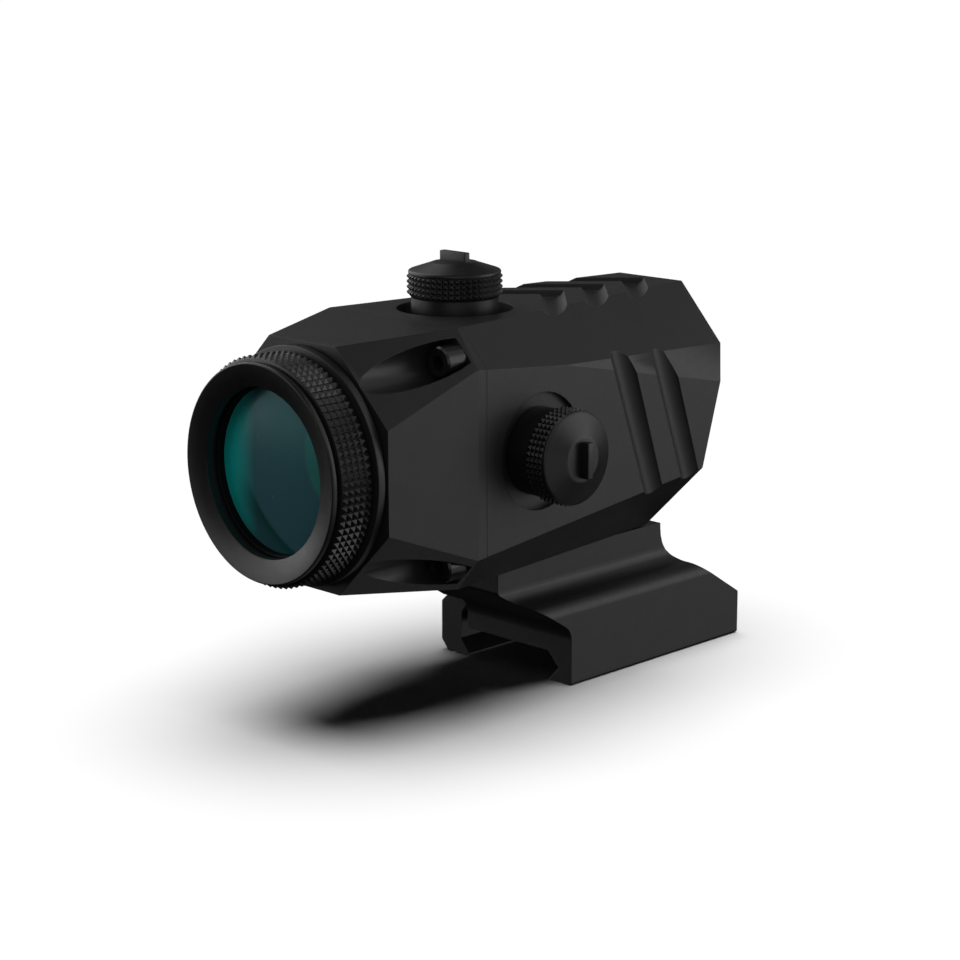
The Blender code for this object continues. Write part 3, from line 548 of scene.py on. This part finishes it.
def coated_glass(name):
    """Lens glass over a dark barrel, with painted reflections in its colour: teal on the left, a painted
    reflection of the white floor, that shifts to grey-blue across the lens, a teal crescent at one side, and
    a dark crescent low down, the floor's shadow painted as a reflection."""
    surface = Surface(name)
    apart = surface.node("ShaderNodeSeparateXYZ", {0: surface.place()}).outputs
    flat = surface.node("ShaderNodeCombineXYZ", {"X": apart["X"], "Y": apart["Y"]}).outputs[0]
    # Painted reflection: teal on the left fading to grey-blue, then a painted teal crescent.
    painted_reflection = surface.blend(surface.spread(apart["X"], 0, 1, metres(*TEAL_REACH)), LENS_REFLECTED_TEAL, LENS_REFLECTED_GREY)
    outside = beyond(surface, flat, CRESCENT_CIRCLE, -CRESCENT_BLUR, CRESCENT_BLUR)
    crescent = surface.blend(outside, LENS_REFLECTED_CRESCENT, painted_reflection)
    # Painted reflection of the floor's shadow: a dark crescent low down, fading outward.
    low_down = surface.spread(apart["Y"], 0, SHADE_STRENGTH, metres(*SHADE_REACH))
    edge = beyond(surface, flat, SHADE_CIRCLE, -SHADE_BLUR, SHADE_BLUR)
    fading = surface.spread(beyond(surface, flat, SHADE_CIRCLE, *SHADE_FADE), 1, 0, (0, 1))
    dark = surface.math("MULTIPLY", surface.math("MULTIPLY", edge, fading), low_down)
    return surface.finished({
        "Base Color": surface.blend(dark, crescent, LENS_REFLECTED_SHADOW),
        "Roughness": surface.spread(surface.noise(*LENS_SMEAR), *LENS_ROUGHNESS),
        "IOR": LENS_IOR,
        "Specular IOR Level": LENS_SPECULAR,
        "Specular Tint": LENS_SHEEN})


def clear_glass(name):
    """Plain optical glass."""
    surface = Surface(name)
    return surface.finished({
        "Base Color": GLASS_COLOUR,
        "Roughness": surface.spread(surface.noise(*GLASS_SMEAR), *GLASS_ROUGHNESS),
        "Transmission Weight": 1.0,
        "IOR": GLASS_IOR})


def board(name):
    """Green solder mask over faint copper tracks."""
    surface = Surface(name)
    tracks = surface.node("ShaderNodeTexVoronoi", {"Vector": surface.place(), "Scale": TRACK_SCALE})
    lines = surface.spread(tracks.outputs["Distance"], 0, 1, TRACK_REACH)
    return surface.finished({
        "Base Color": surface.blend(lines, MASK_GREEN, TRACK_GREEN),
        "Roughness": BOARD_ROUGHNESS})


def make_materials():
    """Every finish, by name."""
    made = {name: anodised(name, **{**BODY_FINISH, **changes}) for name, changes in ANODISED.items()}
    made.update((name, machined(name, *finish)) for name, finish in MACHINED.items())
    made["seal_rubber"] = rubber("seal_rubber")
    made["optical_glass"] = clear_glass("optical_glass")
    made["coated_glass"] = coated_glass("coated_glass")
    made["solder_mask"] = board("solder_mask")
    return made


# --- CAD nodes that stay: clean normals and a good finish ---

def crisp_facets(name, big):
    """A node group that smooths faces, and keeps real corners and the edges of big facets sharp."""
    tree = MeshGroup(name)
    bend = tree.node("GeometryNodeInputMeshEdgeAngle").outputs["Unsigned Angle"]
    area = tree.node("GeometryNodeInputMeshFaceArea").outputs["Area"]
    per_face = tree.node("GeometryNodeFieldOnDomain", {0: area}, domain="FACE").outputs[0]
    # An edge reads the mean of its two faces' areas, so this finds the edges of every big face.
    facets = tree.logic("AND", tree.over(per_face, big / 2), tree.over(bend, FACET_BEND))
    sharp = tree.logic("OR", facets, tree.over(bend, CORNER_BEND))
    inputs = {"Geometry": tree.mesh, "Shade Smooth": True}
    faces = tree.node("GeometryNodeSetShadeSmooth", inputs, domain="FACE")
    inputs = {"Geometry": faces.outputs[0], "Selection": sharp, "Shade Smooth": False}
    edges = tree.node("GeometryNodeSetShadeSmooth", inputs, domain="EDGE")
    return tree.finished(edges.outputs[0])


def narrow_seam():
    """A node group that draws the two housings' end faces together, to a hairline."""
    tree = MeshGroup("narrow_seam")
    position = tree.node("GeometryNodeInputPosition").outputs[0]
    apart = tree.node("ShaderNodeSeparateXYZ", {0: position}).outputs
    away = tree.math("SUBTRACT", apart["Y"], SEAM_Y)
    near = tree.math("LESS_THAN", tree.math("ABSOLUTE", away), SEAM_REACH)
    closer = tree.math("MULTIPLY_ADD", away, SEAM_LEFT, SEAM_Y)
    together = tree.node("ShaderNodeCombineXYZ", {"X": apart["X"], "Y": closer, "Z": apart["Z"]})
    inputs = {"Geometry": tree.mesh, "Selection": near, "Position": together.outputs[0]}
    return tree.finished(tree.node("GeometryNodeSetPosition", inputs).outputs[0])


def clean_normals(node, group):
    """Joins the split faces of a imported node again, and lets its big flats set the shading."""
    mesh = node.data
    if "custom_normal" in mesh.attributes:
        mesh.attributes.remove(mesh.attributes["custom_normal"])
    weld = node.modifiers.new("weld", "WELD")
    weld.merge_threshold = WELD_DISTANCE
    flats = node.modifiers.new("flats", "DECIMATE")
    flats.decimate_type = "DISSOLVE"
    flats.angle_limit = FLAT_BEND
    smooth = node.modifiers.new("smooth", "NODES")
    smooth.node_group = group
    weigh = node.modifiers.new("weigh", "WEIGHTED_NORMAL")
    weigh.keep_sharp = True
    weigh.weight = NORMAL_WEIGHT


def dress(names, material, group, seam=None):
    """Gives CAD nodes a material and clean normals."""
    for name in names:
        node = frame["nodes"][name]
        node.data.materials.clear()
        node.data.materials.append(material)
        if seam:
            node.modifiers.new("seam", "NODES").node_group = seam
        clean_normals(node, group)


def dress_nodes(made):
    """Dresses every CAD node that keeps its shape."""
    dress(HOUSINGS, made["anodised_body"], crisp_facets("crisp_facets", HOUSING_FACET), narrow_seam())
    corners = crisp_facets("crisp_corners", NO_FACET)
    for finish, names in DRESSED.items():
        dress(names, made[finish], corners)
    dress([name for name in frame["nodes"] if FASTENER in name], made["black_oxide"], corners)


# --- fine pieces that stand for CAD nodes ---

def turned(profile, sides, closed=False):
    """A profile of (radius, height) pairs turned about Z. A closed profile makes a ring."""
    shape = bmesh.new()
    points = [shape.verts.new((radius, 0, height)) for radius, height in profile]
    lines = [shape.edges.new(pair) for pair in zip(points, points[1:])]
    if closed:
        lines.append(shape.edges.new((points[-1], points[0])))
    bmesh.ops.spin(shape, geom=points + lines, cent=(0, 0, 0), axis=(0, 0, 1), angle=2 * pi, steps=sides)
    bmesh.ops.remove_doubles(shape, verts=shape.verts, dist=DOUBLES)
    bmesh.ops.recalc_face_normals(shape, faces=shape.faces)
    return shape


def knurl(shape, low, high, height):
    """Raises a pyramid on each outer face of a round band, with a narrow flat groove between them."""
    rows = [face for face in shape.faces if low < face.calc_center_median().z < high
            and abs(face.normal.z) < BAND_LEAN and face.normal.dot(face.calc_center_median()) > 0]
    inset = bmesh.ops.inset_individual(shape, faces=rows, thickness=KNURL_GROOVE, use_even_offset=True)
    peaks = bmesh.ops.poke(shape, faces=rows, offset=height, center_mode="MEAN", use_relative_offset=False)
    for face in peaks["faces"]:
        face.material_index = 1
    # The grooves take the third material, a near-black that paints the shade in them.
    for face in inset["faces"]:
        face.material_index = 2


def knurled(below, band, above, sides, closed=False):
    """A turned piece with a knurled band between two stretches of plain profile."""
    low, high, root, rows, height = band
    wall = [(root, low + (high - low) * row / rows) for row in range(rows + 1)]
    shape = turned(below + wall + above, sides, closed)
    knurl(shape, low, high, height)
    return shape


def rounded_profile(profile, radius):
    """A closed profile with small arcs at its corners."""
    result = []
    count = len(profile)
    for index, point in enumerate(profile):
        here = Vector(point)
        before = Vector(profile[index - 1]) - here
        after = Vector(profile[(index + 1) % count]) - here
        cut = min(radius, before.length * LONGEST_CUT, after.length * LONGEST_CUT)
        if cut < LEAST_CUT or before.angle(after) > NEARLY_STRAIGHT:
            result.append(tuple(here))
            continue
        first = here + before.normalized() * cut
        last = here + after.normalized() * cut
        for step in range(ARC_STEPS + 1):
            t = step / ARC_STEPS
            result.append(tuple(first.lerp(here, t).lerp(here.lerp(last, t), t)))
    return result


def stand_in(name, shape, materials, node, body, at=(0, 0, 0), turn=UP):
    """A fine piece that rides on a body, and stands for a CAD node where one is given. Its knurl takes
    the second material, and the knurl's grooves take the third, a near-black that paints the shade in them."""
    bmesh.ops.scale(shape, vec=(MM, MM, MM), verts=shape.verts)
    mesh = bpy.data.meshes.new(name)
    shape.to_mesh(mesh)
    shape.free()
    mesh.shade_smooth()
    mesh.set_sharp_from_angle(angle=SHARP_BEND)
    for material in materials:
        mesh.materials.append(material)
    item = bpy.data.objects.new(name, mesh)
    item.location = world(*at)
    item.rotation_euler = turn
    bpy.context.scene.collection.objects.link(item)
    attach(item, body)
    if node:
        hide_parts(node)


def fine_ring(materials):
    """The diopter ring, with its rows of pyramids."""
    shape = knurled(RING_BELOW, RING_BAND, RING_ABOVE, RING_PITCHES, closed=True)
    stand_in("diopter_ring_fine", shape, materials, "diopter_ring", "diopter",
             turn=ALONG_SIGHT)


def fine_flange(material):
    """The fixed ring behind the diopter ring."""
    shape = turned(rounded_profile(FLANGE, FLANGE_ROUNDING), FINE_SIDES, closed=True)
    stand_in("eyepiece_flange_fine", shape, [material], "eyepiece_flange", "housing",
             turn=ALONG_SIGHT)


def fine_cell(material):
    """The ocular's cell, the thin black tube that shows round the lens."""
    shape = turned(CELL, FINE_SIDES, closed=True)
    stand_in("ocular_cell_fine", shape, [material], "ocular_cell", "ocular",
             turn=ALONG_SIGHT)


def lens_face(radius, sag, start):
    """Half a spherical face's profile, from the middle out, with its middle at start."""
    curve = (radius ** 2 + sag ** 2) / (2 * abs(sag))
    side = 1 if sag > 0 else -1
    rings = [radius * step / LENS_RINGS for step in range(LENS_RINGS + 1)]
    return [(out, start + side * (curve - sqrt(curve ** 2 - out ** 2))) for out in rings]


def fine_lens(name, material, node, body, sizes):
    """A lens with smooth faces."""
    radius, front, back, front_sag, back_sag = sizes
    profile = lens_face(radius, front_sag, front) + lens_face(radius, back_sag, back)[::-1]
    shape = turned(profile, FINE_SIDES)
    stand_in(name, shape, [material], node, body, turn=ALONG_SIGHT)


def blade_shape():
    """A thumb blade with rounded edges."""
    shape = bmesh.new()
    bmesh.ops.create_cube(shape, size=1)
    bmesh.ops.scale(shape, vec=(BLADE_LENGTH, BLADE_WIDTH, BLADE_HIGH - BLADE_LOW), verts=shape.verts)
    bmesh.ops.translate(shape, vec=(0, 0, (BLADE_LOW + BLADE_HIGH) / 2), verts=shape.verts)
    bmesh.ops.bevel(shape, geom=shape.edges[:], offset=BLADE_ROUNDING, segments=BLADE_SEGMENTS,
                    profile=0.5, affect="EDGES")
    return shape


def fine_cap(name, materials, turn):
    """An adjuster's cap, with its rows of pyramids and a thumb blade."""
    shape = knurled(CAP_BELOW, CAP_BAND, CAP_ABOVE, CAP_PITCHES)
    at = (0, TURRET_Y, 0)
    part = name + "_cap"
    stand_in(part + "_fine", shape, materials, part, part, at, turn)
    stand_in(part + "_blade", blade_shape(), materials, None, part, at, turn)


def fine_dial(materials):
    """The brightness dial, with its rows of grips."""
    shape = knurled(DIAL_BELOW, DIAL_BAND, DIAL_ABOVE, DIAL_PITCHES, closed=True)
    stand_in("brightness_dial_fine", shape, materials, "brightness_dial", "dial",
             (0, DIAL_Y, 0), TO_LEFT)


def add_fine_pieces(made):
    """The turned pieces and lenses that stand for their plainer CAD nodes."""
    turned_finishes_and_groove_shade = [made[name] for name in TURNED_FINISHES_AND_GROOVE_SHADE]
    coated = made["coated_glass"]
    fine_ring(turned_finishes_and_groove_shade)
    fine_flange(made["anodised_body"])
    fine_cell(made["anodised_barrel_and_groove_shade"])
    fine_lens("ocular_lens_fine", coated, "ocular_lens", "ocular", OCULAR_LENS)
    fine_lens("objective_lens_fine", coated, "objective_lens", "housing", OBJECTIVE_LENS)
    fine_cap("elevation", turned_finishes_and_groove_shade, UP)
    fine_cap("windage", turned_finishes_and_groove_shade, TO_RIGHT)
    fine_dial(turned_finishes_and_groove_shade)


def build():
    """Puts the whole picture together."""
    make_camera()
    make_world()
    make_lights(make_floor())
    made = make_materials()
    dress_nodes(made)
    add_fine_pieces(made)


build()
